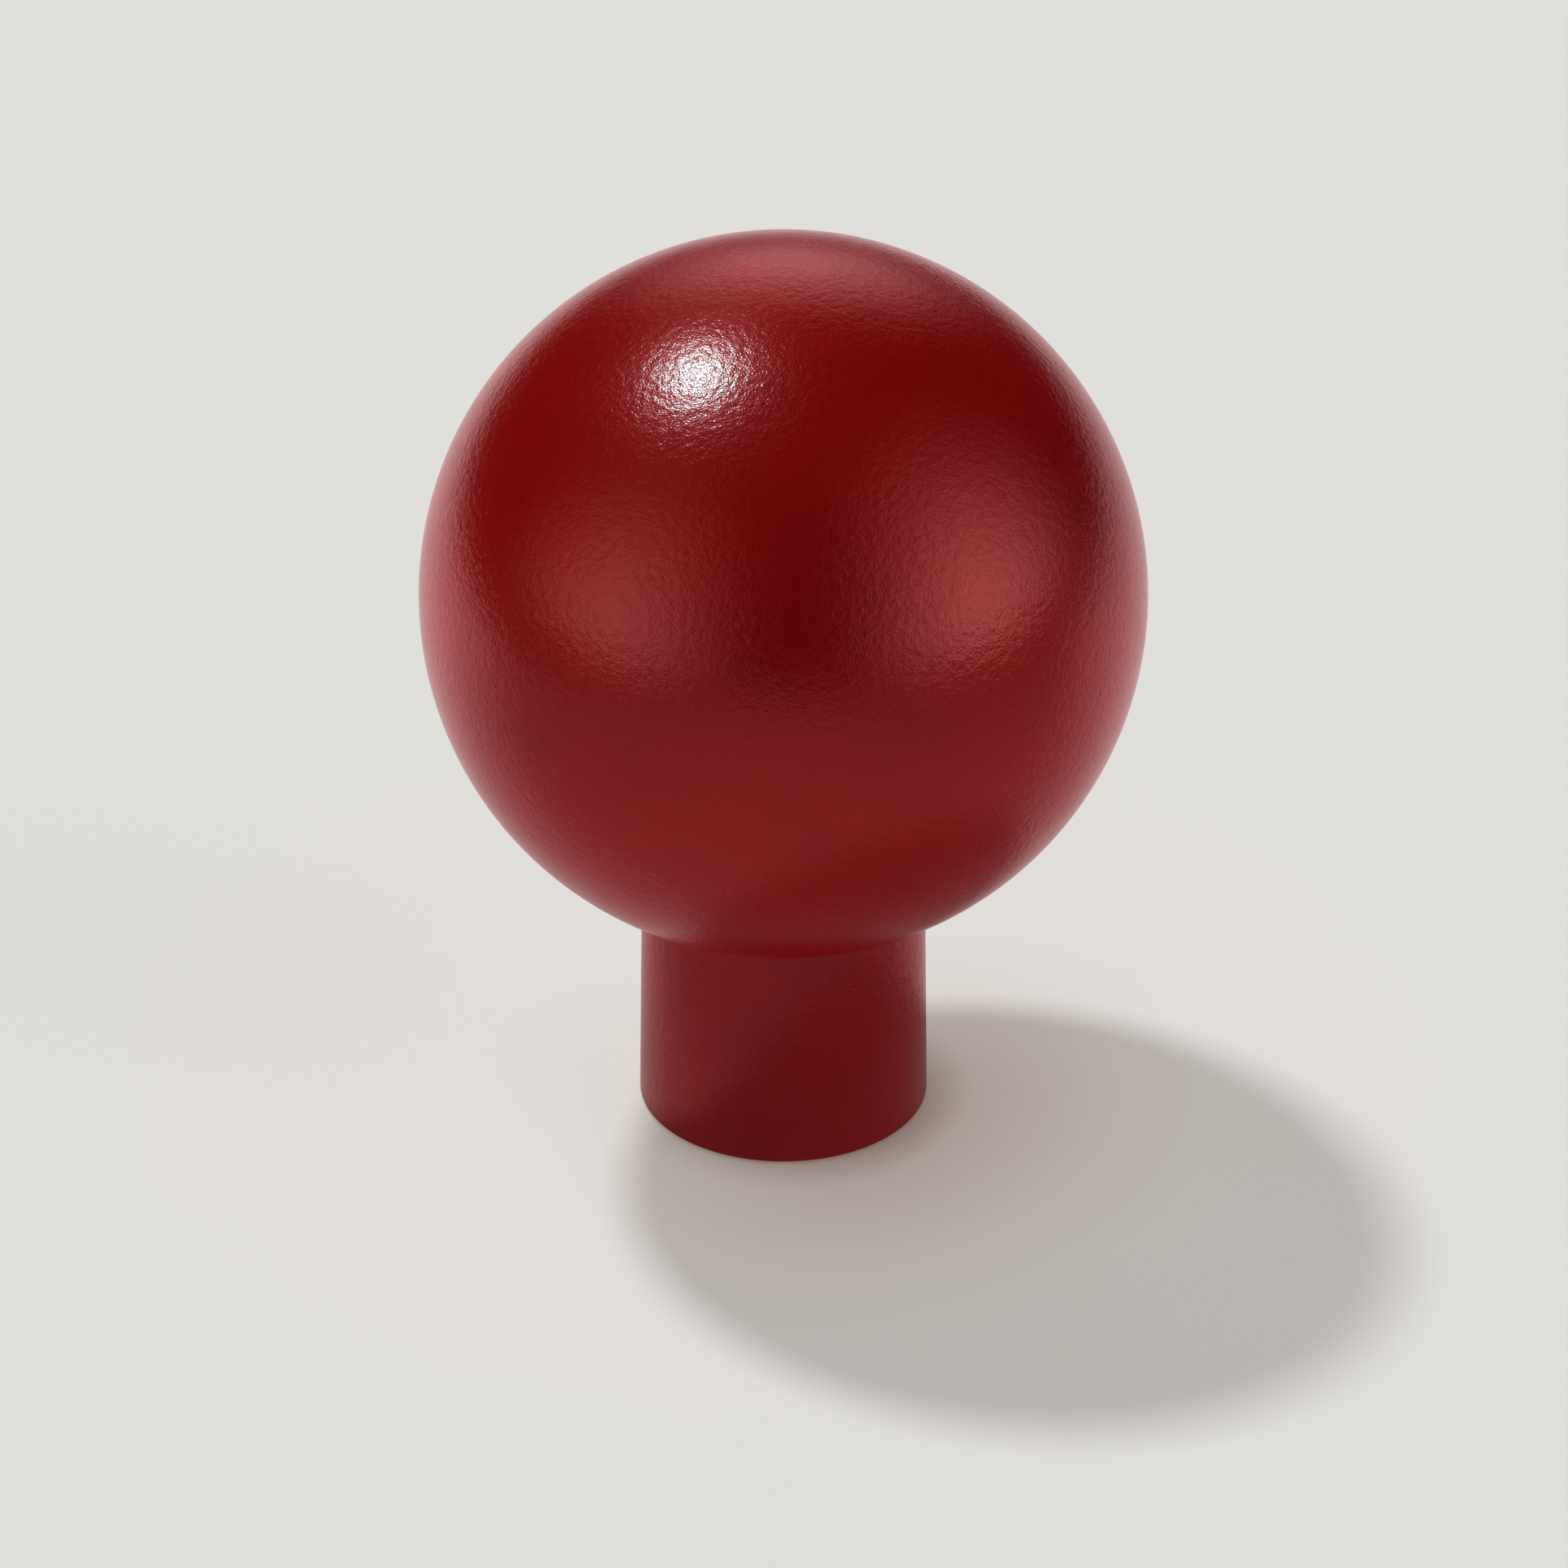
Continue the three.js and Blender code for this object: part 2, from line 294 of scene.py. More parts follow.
materials = {
    "ball_red": makeRed("ballRed", (0.47, 0.0042, 0.0050), (0.52, 0.0050, 0.0058)),
    # the stand takes the ball's red a little darker: painted shade for the stand under the ball
    "stand_red": makeRed("standRedShaded", (0.40, 0.0034, 0.0040), (0.445, 0.0042, 0.0048)),
    "cork_rubber": makeCorkRubber(),
    "felt": makeFelt(),
    "steel": makeMetal(
        "zincSteel", (0.40, 0.41, 0.43), (0.62, 0.63, 0.64),
        pitch=0.25 * mm, depth=0.004 * mm, roughness=0.32),
    "brass": makeMetal(
        "turnedBrass", (0.50, 0.31, 0.10), (0.76, 0.54, 0.23),
        pitch=0.2 * mm, depth=0.004 * mm, roughness=0.28),
    "foam": makeFoam(),
    "cover_plastic": makeMoulded(
        "coverPlastic", (0.012, 0.012, 0.013), (0.026, 0.026, 0.027),
        scale=3200, depth=0.05 * mm, roughness=0.55),
    "foot_rubber": makeMoulded(
        "footRubber", (0.010, 0.010, 0.010), (0.020, 0.020, 0.020),
        scale=1700, depth=0.09 * mm, roughness=0.8),
}
print("materials made")


# Modelling helpers: an outline is drawn beside the axis, in metres, and then turned round it

def startOutline(radius, height):
    outline = bmesh.new()
    return outline, outline.verts.new((radius, 0, height))


def lineTo(outline, corner, radius, height):
    end = outline.verts.new((radius, 0, height))
    outline.edges.new((corner, end))
    return end


def onSphere(radius, sphere):
    # how high a sphere round the ball's centre is, at that distance from the axis, on its lower side
    return ballHeight - math.sqrt(sphere ** 2 - radius ** 2)


def arcTo(outline, corner, toRadius, steps):
    # along a circle round the ball's centre, on the lower side, until toRadius from the axis
    size = math.hypot(corner.co.x, corner.co.z - ballHeight)
    turn = math.asin(toRadius / size) - math.asin(corner.co.x / size)
    return swing(outline, corner, turn, steps)


def swing(outline, corner, angle, steps):
    made = bmesh.ops.spin(outline, geom=[corner], cent=(0, 0, ballHeight), axis=(0, -1, 0),
                          angle=angle, steps=steps)
    return made["geom_last"][0]


def roundCorners(outline, corners, width, segments=3):
    bmesh.ops.bevel(outline, geom=corners, offset=width, offset_type="OFFSET", segments=segments,
                    profile=0.5, affect="VERTICES", material=-1, clamp_overlap=True)


def turnOutline(outline, steps):
    bmesh.ops.spin(outline, geom=outline.verts[:] + outline.edges[:], cent=(0, 0, 0), axis=(0, 0, 1),
                   angle=2 * math.pi, steps=steps, use_merge=True)
    bmesh.ops.remove_doubles(outline, verts=outline.verts[:], dist=0.0005 * mm)
    bmesh.ops.recalc_face_normals(outline, faces=outline.faces[:])


def finishPiece(shape, name, body, node, slotName, creaseDegrees=35):
    mesh = bpy.data.meshes.new(name)
    shape.to_mesh(mesh)
    shape.free()
    mesh.shade_smooth()
    mesh.set_sharp_from_angle(angle=math.radians(creaseDegrees))
    mesh.materials.append(materials[slotName])
    piece = bpy.data.objects.new(name, mesh)
    bpy.context.scene.collection.objects.link(piece)
    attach(piece, body)
    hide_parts(node)
    return piece


# Ball

ballSizes = {
    "wall": 10 * mm, "tongueInner": 39.5 * mm, "tongueOuter": 42.5 * mm, "tongueHeight": 3 * mm,
    "fit": 0.1 * mm, "cornerRound": 0.25 * mm, "around": 192, "fromPole": 48,
}


def shadeAsOneBall(piece):
    # the two halves are welded and polished, so both take the whole ball's normals
    mesh = piece.data
    centre = Vector((0, 0, ballHeight))
    normals = [corner.vector.copy() for corner in mesh.corner_normals]
    for polygon in mesh.polygons:
        if (polygon.center - centre).length > 0.99 * ballRadius:
            for loop in polygon.loop_indices:
                normals[loop] = (mesh.vertices[mesh.loops[loop].vertex_index].co - centre).normalized()
    mesh.normals_split_custom_set(normals)


def makeLowerHalf():
    size = ballSizes
    grooveInner = size["tongueInner"] - size["fit"]
    grooveOuter = size["tongueOuter"] + size["fit"]
    grooveFloor = ballHeight - size["tongueHeight"] - size["fit"]
    outline, pole = startOutline(0, ballHeight - ballRadius)
    rim = swing(outline, pole, math.pi / 2, size["fromPole"])
    mouthOuter = lineTo(outline, rim, grooveOuter, ballHeight)
    floorOuter = lineTo(outline, mouthOuter, grooveOuter, grooveFloor)
    floorInner = lineTo(outline, floorOuter, grooveInner, grooveFloor)
    mouthInner = lineTo(outline, floorInner, grooveInner, ballHeight)
    innerRim = lineTo(outline, mouthInner, ballRadius - size["wall"], ballHeight)
    swing(outline, innerRim, -math.pi / 2, size["fromPole"] // 2)
    roundCorners(outline, [mouthOuter, floorOuter, floorInner, mouthInner], size["cornerRound"])
    turnOutline(outline, size["around"])
    half = finishPiece(outline, "ball_lower_half", "ball", "ball_shell_lower", "ball_red")
    shadeAsOneBall(half)


def makeUpperHalf():
    size = ballSizes
    tongueEnd = ballHeight - size["tongueHeight"]
    outline, pole = startOutline(0, ballHeight + ballRadius)
    rim = swing(outline, pole, -math.pi / 2, size["fromPole"])
    rootOuter = lineTo(outline, rim, size["tongueOuter"], ballHeight)
    endOuter = lineTo(outline, rootOuter, size["tongueOuter"], tongueEnd)
    endInner = lineTo(outline, endOuter, size["tongueInner"], tongueEnd)
    rootInner = lineTo(outline, endInner, size["tongueInner"], ballHeight)
    innerRim = lineTo(outline, rootInner, ballRadius - size["wall"], ballHeight)
    swing(outline, innerRim, math.pi / 2, size["fromPole"] // 2)
    roundCorners(outline, [endOuter, endInner], size["cornerRound"])
    turnOutline(outline, size["around"])
    half = finishPiece(outline, "ball_upper_half", "ball", "ball_shell_upper", "ball_red")
    shadeAsOneBall(half)


coreSizes = {
    "clearance": 0.2 * mm, "flashWidth": 1.2 * mm, "flashHeight": 0.12 * mm, "around": 128, "fromPole": 32,
}


def makeCore():
    # one moulded ball, with the thin flash line that its mould leaves
    size = coreSizes
    radius = ballRadius - ballSizes["wall"] - size["clearance"]
    outline, pole = startOutline(0, ballHeight - radius)
    halfFlash = size["flashWidth"] / 2 / radius
    below = swing(outline, pole, math.pi / 2 - halfFlash, size["fromPole"])
    flash = lineTo(outline, below, radius + size["flashHeight"], ballHeight)
    above = lineTo(outline, flash, below.co.x, 2 * ballHeight - below.co.z)
    swing(outline, above, math.pi / 2 - halfFlash, size["fromPole"])
    roundCorners(outline, [flash], size["flashHeight"])
    turnOutline(outline, size["around"])
    finishPiece(outline, "moulded_core", "ball", "ball_core", "cork_rubber")


makeLowerHalf()
makeUpperHalf()
makeCore()
print("ball made")


# Stand

columnSizes = {
    "topRadius": 18.15 * mm, "footRound": 0.45 * mm, "lipWidth": 0.22 * mm, "lipRound": 0.06 * mm,
    "dishGap": 0.06 * mm, "recessInner": 5.9 * mm, "recessOuter": 14.5 * mm, "recessDepth": 1.1 * mm,
    "undersideGap": 3.2 * mm, "bore": 14.95 * mm, "padRecess": 16.8 * mm,
    "bossRadius": 4.5 * mm, "bossBottom": 6.6 * mm, "pocketRadius": 2.9 * mm, "pocketTop": 14.7 * mm,
    "pilotRadius": 2.2 * mm, "pilotTop": 19 * mm,
    "ribCount": 6, "ribBottom": 3.6 * mm, "ribTop": 24 * mm, "ribReach": 13.8 * mm, "ribFaces": 4,
    "edgeRound": 0.15 * mm, "rootRound": 0.5 * mm, "around": 216,
}


def makeColumn():
    size = columnSizes
    dish = ballRadius + size["dishGap"]
    underside = ballRadius + size["undersideGap"]
    lipInner = size["topRadius"] - size["lipWidth"]
    lipTop = onSphere(lipInner, dish)
    recessFloor = ballRadius + size["recessDepth"]
    outline, pen = startOutline(0, size["pilotTop"])
    pen = lineTo(outline, pen, size["pilotRadius"], size["pilotTop"])
    pen = lineTo(outline, pen, size["pilotRadius"], size["pocketTop"])
    pen = lineTo(outline, pen, size["pocketRadius"], size["pocketTop"])
    pen = lineTo(outline, pen, size["pocketRadius"], size["bossBottom"])
    bossEdge = lineTo(outline, pen, size["bossRadius"], size["bossBottom"])
    bossRoot = lineTo(outline, bossEdge, size["bossRadius"], onSphere(size["bossRadius"], underside))
    boreTop = arcTo(outline, bossRoot, size["bore"], 12)
    pen = lineTo(outline, boreTop, size["bore"], size["ribTop"])
    pen = lineTo(outline, pen, size["bore"], size["ribBottom"])
    pen = lineTo(outline, pen, size["bore"], coverLow.z)
    pen = lineTo(outline, pen, size["padRecess"], coverLow.z)
    innerFoot = lineTo(outline, pen, size["padRecess"], standLow.z)
    foot = lineTo(outline, innerFoot, standHigh.x, standLow.z)
    lipOuter = lineTo(outline, foot, size["topRadius"], lipTop)
    lip = lineTo(outline, lipOuter, lipInner, lipTop)
    recessEdge = arcTo(outline, lip, size["recessOuter"], 8)
    pen = lineTo(outline, recessEdge, size["recessOuter"], onSphere(size["recessOuter"], recessFloor))
    pen = arcTo(outline, pen, size["recessInner"], 12)
    island = lineTo(outline, pen, size["recessInner"], onSphere(size["recessInner"], dish))
    arcTo(outline, island, 0, 8)
    roundCorners(outline, [foot], size["footRound"], 6)
    roundCorners(outline, [lipOuter, lip], size["lipRound"], 3)
    roundCorners(outline, [innerFoot, recessEdge, island, bossEdge], size["edgeRound"])
    roundCorners(outline, [bossRoot, boreTop], size["rootRound"])
    turnOutline(outline, size["around"])
    raiseRibs(outline)
    finishPiece(outline, "stand_column", "stand", "stand_body", "stand_red")


def raiseRibs(column):
    # upright ribs are drawn out of the bore's wall, towards the ballast
    size = columnSizes
    perRib = 2 * math.pi / size["ribCount"]
    halfWidth = math.pi * size["ribFaces"] / size["around"]

    def onRib(face):
        middle = face.calc_center_median()
        inBore = abs(math.hypot(middle.x, middle.y) - size["bore"]) < 0.05 * mm
        offset = (math.atan2(middle.y, middle.x) + perRib / 2) % perRib - perRib / 2
        return inBore and size["ribBottom"] < middle.z < size["ribTop"] and abs(offset) < halfWidth

    wall = [face for face in column.faces if onRib(face)]
    raised = bmesh.ops.extrude_face_region(column, geom=wall)["geom"]
    bmesh.ops.delete(column, geom=wall, context="FACES")
    crest = [part for part in raised if isinstance(part, bmesh.types.BMVert)]
    reach = size["ribReach"] / size["bore"]
    bmesh.ops.scale(column, vec=(reach, reach, 1), verts=crest)


seatSizes = {"inner": 6 * mm, "outer": 14.4 * mm, "thickness": 1 * mm, "toBall": 0.03 * mm,
             "edgeRound": 0.35 * mm, "around": 192}


def makeSeat():
    # felt ring, cupped to the ball and rounded along its cut edges
    size = seatSizes
    top = ballRadius + size["toBall"]
    bottom = top + size["thickness"]
    outline, start = startOutline(size["inner"], onSphere(size["inner"], bottom))
    lowerOuter = arcTo(outline, start, size["outer"], 12)
    upperOuter = lineTo(outline, lowerOuter, size["outer"], onSphere(size["outer"], top))
    upperInner = arcTo(outline, upperOuter, size["inner"], 12)
    outline.edges.new((upperInner, start))
    roundCorners(outline, [start, lowerOuter, upperOuter, upperInner], size["edgeRound"], 4)
    turnOutline(outline, size["around"])
    seat = finishPiece(outline, "felt_seat", "stand", "seat_pad", "felt")


def makeBand(name, node, slotName, inner, outer, edgeRound, around=128, segments=3):
    # a plain ring as high as its node's box
    low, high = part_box(node)
    outline, start = startOutline(inner, low.z)
    corners = [start]
    for radius, height in ((outer, low.z), (outer, high.z), (inner, high.z)):
        corners.append(lineTo(outline, corners[-1], radius, height))
    outline.edges.new((corners[-1], corners[0]))
    roundCorners(outline, corners, edgeRound, segments)
    turnOutline(outline, around)
    return finishPiece(outline, name, "stand", node, slotName)


ballastSizes = {"inner": 4.7 * mm, "outer": 13.5 * mm, "edgeRound": 0.8 * mm}
cushionSizes = {"inner": 5.2 * mm, "outer": 12 * mm, "edgeRound": 0.35 * mm}


def makeBallast():
    size = ballastSizes
    makeBand("steel_ballast", "ballast_ring", "steel", size["inner"], size["outer"], size["edgeRound"])


def makeCushion():
    size = cushionSizes
    cushion = makeBand(
        "foam_cushion", "ballast_cushion", "foam", size["inner"], size["outer"], size["edgeRound"])


insertSizes = {
    "radius": 2.8 * mm, "bore": 2.05 * mm, "knurlDepth": 0.15 * mm, "teeth": 20, "edgeRound": 0.2 * mm,
}


def makeInsert():
    # turned first, then every second line of vertices is pressed in to leave the knurl's teeth
    size = insertSizes
    low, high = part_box("threaded_insert")
    outline, start = startOutline(size["bore"], low.z)
    corners = [start]
    for radius, height in ((size["radius"], low.z), (size["radius"], high.z), (size["bore"], high.z)):
        corners.append(lineTo(outline, corners[-1], radius, height))
    outline.edges.new((corners[-1], corners[0]))
    roundCorners(outline, corners, size["edgeRound"], 2)
    around = 2 * size["teeth"]
    turnOutline(outline, around)
    pressed = (size["radius"] - size["knurlDepth"]) / size["radius"]
    valleys = [vertex for vertex in outline.verts
               if math.hypot(vertex.co.x, vertex.co.y) > size["radius"] - size["knurlDepth"]
               and round(math.atan2(vertex.co.y, vertex.co.x) / (2 * math.pi) * around) % 2]
    bmesh.ops.scale(outline, vec=(pressed, pressed, 1), verts=valleys)
    finishPiece(outline, "knurled_insert", "stand", "threaded_insert", "brass", creaseDegrees=12)


coverSizes = {"hole": 2.2 * mm, "well": 4.6 * mm, "wellTop": 5 * mm, "plateTop": 3.5 * mm, "hub": 8 * mm,
              "edgeRound": 0.25 * mm, "around": 144}


def makeCover():
    size = coverSizes
    outline, start = startOutline(size["hole"], size["wellTop"])
    pen = start
    corners = [start]
    for radius, height in (
        (size["well"], size["wellTop"]), (size["well"], coverLow.z), (coverHigh.x, coverLow.z),
        (coverHigh.x, size["plateTop"]), (size["hub"], size["plateTop"]), (size["hub"], coverHigh.z),
        (size["hole"], coverHigh.z),
    ):
        pen = lineTo(outline, pen, radius, height)
        corners.append(pen)
    outline.edges.new((pen, start))
    roundCorners(outline, corners, size["edgeRound"])
    turnOutline(outline, size["around"])
    finishPiece(outline, "moulded_cover", "stand", "base_cover", "cover_plastic")


footSizes = {"edgeRound": 0.3 * mm, "around": 144}


def makeFoot():
    low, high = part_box("foot_pad")
    outline, start = startOutline(0, low.z)
    lowerEdge = lineTo(outline, start, high.x, low.z)
    upperEdge = lineTo(outline, lowerEdge, high.x, high.z)
    lineTo(outline, upperEdge, 0, high.z)
    roundCorners(outline, [lowerEdge], footSizes["edgeRound"], 4)
    roundCorners(outline, [upperEdge], footSizes["edgeRound"] / 3, 2)
    turnOutline(outline, footSizes["around"])
    foot = finishPiece(outline, "rubber_foot", "stand", "foot_pad", "foot_rubber")


washerSizes = {"inner": 2.1 * mm, "slitDegrees": 14, "edgeRound": 0.08 * mm, "around": 96}


def makeWasher():
    # a square wire bent round the screw, which leaves a slit on the +X side
    size = washerSizes
    low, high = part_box("lock_washer")
    wire = bmesh.new()
    section = [wire.verts.new((radius, 0, height)) for radius, height in (
        (size["inner"], low.z), (high.x, low.z), (high.x, high.z), (size["inner"], high.z))]
    wire.faces.new(section)
    roundCorners(wire, section, size["edgeRound"], 2)
    halfSlit = math.radians(size["slitDegrees"]) / 2
    bmesh.ops.rotate(wire, cent=(0, 0, 0), matrix=Matrix.Rotation(halfSlit, 3, "Z"), verts=wire.verts[:])
    bmesh.ops.spin(wire, geom=wire.verts[:] + wire.edges[:] + wire.faces[:], cent=(0, 0, 0), axis=(0, 0, 1),
                   angle=2 * (math.pi - halfSlit), steps=size["around"], use_merge=False)
    bmesh.ops.recalc_face_normals(wire, faces=wire.faces[:])
    finishPiece(wire, "split_washer", "stand", "lock_washer", "steel")


screwSizes = {
    "headHeight": 2.2 * mm, "headFlat": 2.1 * mm, "headEdge": 0.45 * mm, "headRound": 0.12 * mm,
    "crownSteps": 10,
    "shank": 2 * mm, "neck": 0.8 * mm, "socket": 1.45 * mm, "socketDepth": 1.3 * mm,
    "pitch": 0.7 * mm, "threadDepth": 0.38 * mm, "crest": 0.09 * mm, "around": 96, "threadAround": 36,
}


def makeScrew():
    size = screwSizes
    low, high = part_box("base_screw")
    underHead = low.z + size["headHeight"]
    threadFrom = underHead + size["neck"]
    outline, pen = startOutline(0, low.z + size["socketDepth"])
    pen = lineTo(outline, pen, size["socket"], low.z + size["socketDepth"])
    socketMouth = lineTo(outline, pen, size["socket"], low.z)
    pen = lineTo(outline, socketMouth, size["headFlat"], low.z)
    crownWidth = high.x - size["headFlat"]
    crownHeight = size["headHeight"] - size["headEdge"]
    for step in range(1, size["crownSteps"] + 1):
        turn = math.pi / 2 * step / size["crownSteps"]
        pen = lineTo(outline, pen, size["headFlat"] + crownWidth * math.sin(turn),
                     low.z + crownHeight * (1 - math.cos(turn)))
    headEdge = lineTo(outline, pen, high.x, underHead)
    pen = lineTo(outline, headEdge, size["shank"], underHead)
    pen = lineTo(outline, pen, size["shank"], threadFrom)
    lineTo(outline, pen, 0, threadFrom)
    roundCorners(outline, [headEdge], size["headRound"])
    turnOutline(outline, size["around"])
    sideways = [vertex for vertex in outline.verts
                if abs(math.hypot(vertex.co.x, vertex.co.y) - size["socket"]) < 0.01 * mm]
    for vertex in sideways:  # the round socket is pushed in to six flats
        turn = math.atan2(vertex.co.y, vertex.co.x) % (math.pi / 3) - math.pi / 6
        flat = math.cos(math.pi / 6) / math.cos(turn)
        bmesh.ops.scale(outline, vec=(flat, flat, 1), verts=[vertex])
    thread = makeThread(threadFrom, high.z)
    mesh = bpy.data.meshes.new("screw_thread")
    thread.to_mesh(mesh)
    thread.free()
    outline.from_mesh(mesh)
    bpy.data.meshes.remove(mesh)
    finishPiece(outline, "socket_screw", "stand", "base_screw", "steel", creaseDegrees=25)


def makeThread(bottom, top):
    # one pitch of the thread's outline is wound up the shank, then both ends are cut square
    size = screwSizes
    root = size["shank"] - size["threadDepth"]
    thread, pen = startOutline(root, bottom - size["pitch"])
    for radius, share in ((size["shank"], 0.5), (size["shank"], 0.5), (root, 1.0)):
        height = bottom - size["pitch"] + share * size["pitch"]
        if radius == size["shank"] and pen.co.x > root:
            height += size["crest"]
        pen = lineTo(thread, pen, radius, height)
    turns = math.ceil((top - bottom) / size["pitch"]) + 2
    steps = size["threadAround"]
    bmesh.ops.spin(thread, geom=thread.verts[:] + thread.edges[:], cent=(0, 0, 0), axis=(0, 0, 1),
                   dvec=(0, 0, size["pitch"] / steps), angle=2 * math.pi * turns, steps=steps * turns)
    bmesh.ops.remove_doubles(thread, verts=thread.verts[:], dist=0.002 * mm)
    for height, up in ((bottom, -1), (top, 1)):
        parts = thread.verts[:] + thread.edges[:] + thread.faces[:]
        cut = bmesh.ops.bisect_plane(thread, geom=parts, dist=0.001 * mm, plane_co=(0, 0, height),
                                     plane_no=(0, 0, up), clear_outer=True)["geom_cut"]
        rim = [edge for edge in cut if isinstance(edge, bmesh.types.BMEdge)]
        bmesh.ops.triangle_fill(thread, use_beauty=True, edges=rim)
    bmesh.ops.recalc_face_normals(thread, faces=thread.faces[:])
    return thread


makeColumn()
makeSeat()
makeBallast()
makeCushion()
makeInsert()
makeCover()
makeWasher()
makeScrew()
makeFoot()
print("stand made")


# Floor, sky, lamp and camera

paleGrey = (0.7454, 0.7379, 0.7084)
floorSizes = {
    "side": 12.0, "albedo": 0.44,
    "shownGlow": 0.428, "glowTint": (1.0, 0.972, 0.945),  # light that the lens sees besides the lamp's; its warm tint paints the shadows warm
    "contactReach": 6 * mm, "contactLeft": (0.5, 0.5, 0.5),  # painted contact shade: what is left of the glow in a shut corner
    # painted shade near the stand, tinted red as a painted bounce from the ball, stronger away from the lamp
    "nearReach": 38 * mm, "nearLeft": (0.56, 0.38, 0.33), "shadeFrom": (-60, 40),
    "bounceGlow": 0.38,  # the same for what bounces softly: painted bounce light onto the pieces
    "mirrorFront": 0.275, "mirrorBack": 0.83, "mirrorRise": (-0.045, 0.09),  # painted reflection: the floor as a glossy piece sees it
    # painted reflection, tinted red, fading out to the sides and far back
    "mirrorGlow": 0.24, "mirrorPaint": (1.03, 0.83, 0.83),
    "litRight": (-0.018, 0.782), "litLeft": (-0.477, -0.277), "litBack": (0.663, 0.995),
}
softBoxes = {
    # azimuth clockwise from behind, elevation, half width, half height, softness, brightness
    "left": (-125, -1.75, 16.6, 31.9, 34.6, 1.3),
    "right": (112.8, 0.7, 14.7, 27.4, 40, 2.3),
    "back": (1.4, 23.7, 13.7, 14.5, 15.5, 1.1),
}
lampSpread = 6.4
lamps = {
    # azimuth, elevation, strength and colour; one lights and shades, the other only glints
    "keyLamp": (-44.5, 60.5, 2.3, (0.93, 0.97, 1.0)),
    "glintLamp": (-50.6, 62.1, 1.95, (0.22, 0.98, 1.0)),
}
cameraSizes = {
    "elevation": 31.15, "distance": 1.4335, "lens": 260.9, "belowBall": 23.95 * mm, "aside": 0.07 * mm,
}


def towards(azimuth, elevation):
    # a unit vector from an azimuth clockwise from behind, seen from above, and an elevation
    turn, rise = math.radians(azimuth), math.radians(elevation)
    return Vector((math.sin(turn) * math.cos(rise), math.cos(turn) * math.cos(rise), math.sin(rise)))


def tinted(value):
    # a grey of that value, in the floor's own tint
    return tuple(value * channel / paleGrey[0] for channel in paleGrey) + (1,)


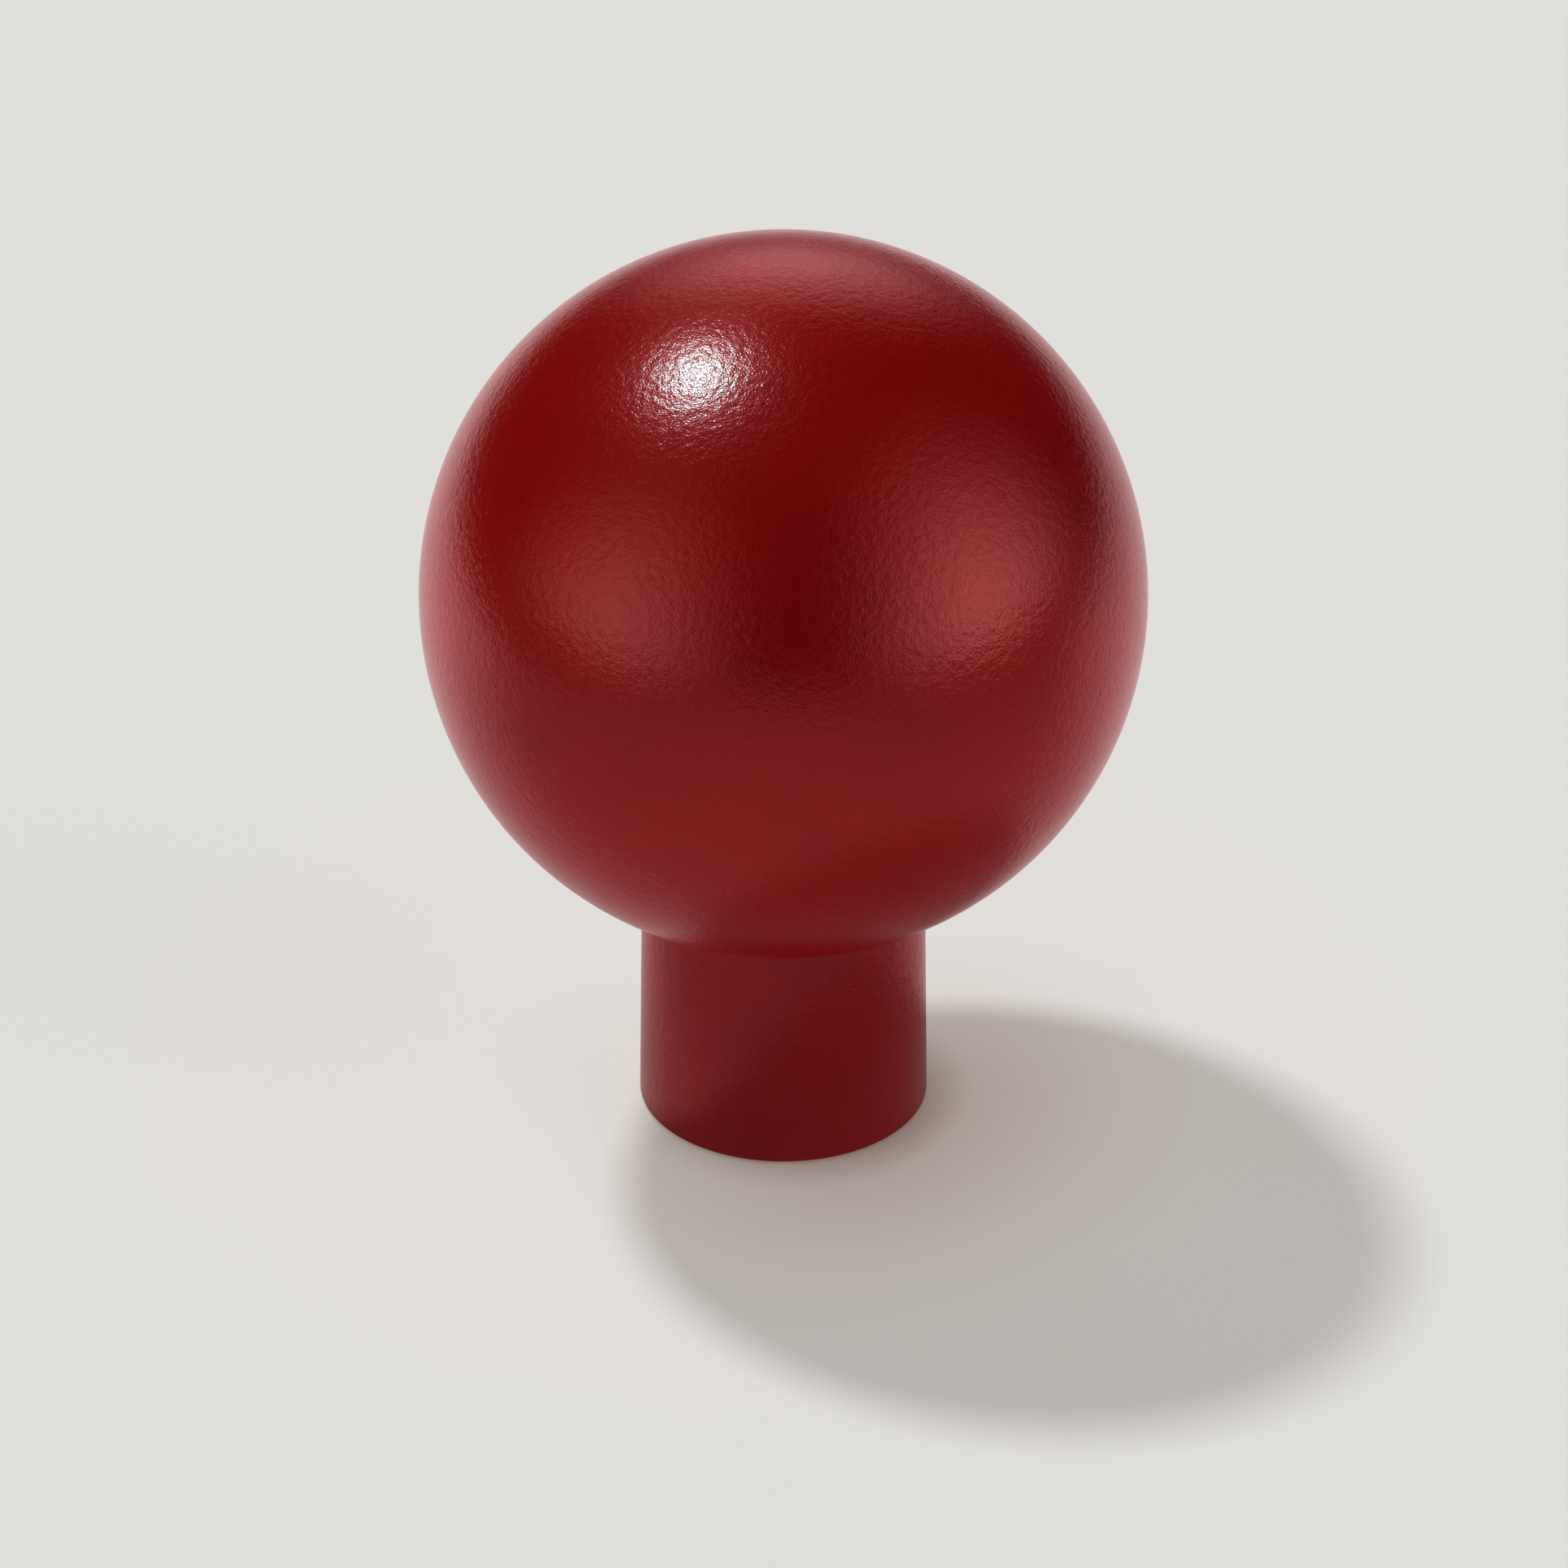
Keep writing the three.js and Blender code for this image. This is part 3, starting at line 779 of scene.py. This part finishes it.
def makeFloor():
    size = floorSizes
    shape = bmesh.new()
    bmesh.ops.create_grid(shape, x_segments=1, y_segments=1, size=size["side"] / 2)
    bmesh.ops.translate(shape, vec=(0, 0, -0.02 * mm), verts=shape.verts[:])
    mesh = bpy.data.meshes.new("studio_floor")
    shape.to_mesh(mesh)
    shape.free()
    floor = bpy.data.objects.new("studio_floor", mesh)
    bpy.context.scene.collection.objects.link(floor)
    material = bpy.data.materials.new("studioFloor")
    material.use_nodes = True
    material.cycles.emission_sampling = "NONE"
    tree = material.node_tree
    tree.nodes.clear()
    rays = addNode(tree, "ShaderNodeLightPath")
    glossy = rays.outputs["Is Glossy Ray"]
    place = addNode(tree, "ShaderNodeTexCoord").outputs["Object"]
    parts = addNode(tree, "ShaderNodeSeparateXYZ")
    tree.links.new(place, parts.inputs[0])
    across, behind, _ = parts.outputs
    # painted reflection: how bright the floor is to glossy rays, by its place on the floor
    mirrored = spread(tree, behind, size["mirrorFront"], size["mirrorBack"], *size["mirrorRise"], smooth=True)
    for fade in (
        spread(tree, across, 1, 0, *size["litRight"], smooth=True),
        spread(tree, across, 0, 1, *size["litLeft"], smooth=True),
        spread(tree, behind, 1, 0, *size["litBack"], smooth=True),
    ):
        mirrored = calculate(tree, "MULTIPLY", mirrored, fade)
    fromLamp = addNode(tree, "ShaderNodeCombineXYZ")  # painted shade on the floor, stronger on the side away from the lamp
    for socket, value in zip(fromLamp.inputs, towards(*size["shadeFrom"])):
        socket.default_value = value
    glow = addNode(tree, "ShaderNodeEmission")
    colour = addNode(tree, "ShaderNodeRGB").outputs[0]
    colour.default_value = (*[channel * tint for channel, tint in zip(tinted(1.0), size["glowTint"])], 1)
    unseen = calculate(tree, "SUBTRACT", 1, rays.outputs["Is Camera Ray"])
    # only the lens sees the painted contact shade and the painted shade near the stand
    for name in ("contact", "near"):
        shade = addNode(tree, "ShaderNodeAmbientOcclusion", {"Distance": size[name + "Reach"]}, samples=16)
        tree.links.new(fromLamp.outputs[0], shade.inputs["Normal"])
        clear = calculate(tree, "MAXIMUM", shade.outputs["AO"], unseen)
        leftOver = {6: (*size[name + "Left"], 1), 7: (1, 1, 1, 1)}
        left = addNode(tree, "ShaderNodeMix", leftOver, data_type="RGBA")
        tree.links.new(clear, left.inputs[0])
        shaded = addNode(tree, "ShaderNodeVectorMath", operation="MULTIPLY")
        tree.links.new(left.outputs[2], shaded.inputs[0])
        tree.links.new(colour, shaded.inputs[1])
        colour = shaded.outputs[0]
    tree.links.new(colour, glow.inputs["Color"])
    seen = calculate(tree, "MULTIPLY", rays.outputs["Is Camera Ray"], size["shownGlow"])
    # the floor glows for soft bounces though it is no lamp: painted bounce light
    bounced = calculate(tree, "MULTIPLY", rays.outputs["Is Diffuse Ray"], size["bounceGlow"])
    reflected = calculate(tree, "MULTIPLY", calculate(tree, "MULTIPLY", mirrored, size["mirrorGlow"]), glossy)
    glows = calculate(tree, "ADD", seen, calculate(tree, "ADD", bounced, reflected))
    tree.links.new(glows, glow.inputs["Strength"])
    # glossy rays see the floor in its painted reflection colour
    paint = addNode(tree, "ShaderNodeMix", data_type="RGBA")
    tree.links.new(glossy, paint.inputs[0])
    paint.inputs[6].default_value = tinted(size["albedo"])
    reflectionPaint = addNode(tree, "ShaderNodeVectorMath", {0: size["mirrorPaint"]}, operation="SCALE")
    tree.links.new(mirrored, reflectionPaint.inputs["Scale"])
    tree.links.new(reflectionPaint.outputs[0], paint.inputs[7])
    matte = addNode(tree, "ShaderNodeBsdfDiffuse")
    tree.links.new(paint.outputs[2], matte.inputs["Color"])
    both = addNode(tree, "ShaderNodeAddShader")
    tree.links.new(matte.outputs[0], both.inputs[0])
    tree.links.new(glow.outputs[0], both.inputs[1])
    out = addNode(tree, "ShaderNodeOutputMaterial")
    tree.links.new(both.outputs[0], out.inputs["Surface"])
    mesh.materials.append(material)


def softBox(tree, direction, azimuth, elevation, halfWidth, halfHeight, softness, brightness):
    # one bright rectangle of the sky with blurred edges, measured in degrees from its middle
    ahead = towards(azimuth, elevation)
    side = towards(azimuth + 90, 0)
    above = side.cross(ahead)
    along = {}
    for name, axis in (("ahead", ahead), ("side", side), ("above", above)):
        node = addNode(tree, "ShaderNodeVectorMath", operation="DOT_PRODUCT")
        tree.links.new(direction, node.inputs[0])
        node.inputs[1].default_value = axis
        along[name] = node.outputs["Value"]
    turn = calculate(tree, "ABSOLUTE", calculate(tree, "ARCTAN2", along["side"], along["ahead"]))
    rise = calculate(tree, "ABSOLUTE", calculate(tree, "ARCSINE", along["above"]))
    fades = [
        spread(tree, angle, 1, 0, math.radians(half - softness), math.radians(half + softness), smooth=True)
        for angle, half in ((turn, halfWidth), (rise, halfHeight))
    ]
    return calculate(tree, "MULTIPLY", calculate(tree, "MULTIPLY", *fades), brightness)


def makeSky():
    world = bpy.data.worlds.new("studioSky")
    bpy.context.scene.world = world
    world.use_nodes = True
    tree = world.node_tree
    tree.nodes.clear()
    direction = addNode(tree, "ShaderNodeTexCoord").outputs["Generated"]
    light = 0.003
    for box in softBoxes.values():
        light = calculate(tree, "ADD", softBox(tree, direction, *box), light)
    backdrop = addNode(tree, "ShaderNodeBackground", {"Color": (*paleGrey, 1), "Strength": 1.0})
    lit = addNode(tree, "ShaderNodeBackground", {"Color": (1, 0.99, 0.98, 1)})
    tree.links.new(light, lit.inputs["Strength"])
    rays = addNode(tree, "ShaderNodeLightPath")
    mixed = addNode(tree, "ShaderNodeMixShader")
    tree.links.new(rays.outputs["Is Camera Ray"], mixed.inputs[0])
    tree.links.new(lit.outputs[0], mixed.inputs[1])
    tree.links.new(backdrop.outputs[0], mixed.inputs[2])
    out = addNode(tree, "ShaderNodeOutputWorld")
    tree.links.new(mixed.outputs[0], out.inputs["Surface"])


def makeLamps():
    for name, (azimuth, elevation, strength, colour) in lamps.items():
        lamp = bpy.data.lights.new(name, "SUN")
        lamp.energy = strength
        lamp.color = colour
        lamp.angle = math.radians(lampSpread)
        holder = bpy.data.objects.new(name, lamp)
        holder.rotation_euler = towards(azimuth, elevation).to_track_quat("Z", "Y").to_euler()
        holder.visible_glossy = name == "glintLamp"
        holder.visible_diffuse = name == "keyLamp"
        bpy.context.scene.collection.objects.link(holder)


def makeCamera():
    size = cameraSizes
    rise = math.radians(size["elevation"])
    back = Vector((0, -math.cos(rise), math.sin(rise)))
    upward = Vector((0, math.sin(rise), math.cos(rise)))
    aim = Vector((size["aside"], 0, ballHeight)) - upward * size["belowBall"]
    lens = bpy.data.cameras.new("camera")
    lens.lens = size["lens"]
    lens.sensor_width = 36
    lens.clip_start, lens.clip_end = 0.05, 50
    camera = bpy.data.objects.new("camera", lens)
    camera.location = aim + back * size["distance"]
    camera.rotation_euler = back.to_track_quat("Z", "Y").to_euler()
    bpy.context.scene.collection.objects.link(camera)
    bpy.context.scene.camera = camera


makeFloor()
makeSky()
makeLamps()
makeCamera()
bpy.context.scene.view_settings.view_transform = "Standard"
print("studio made")
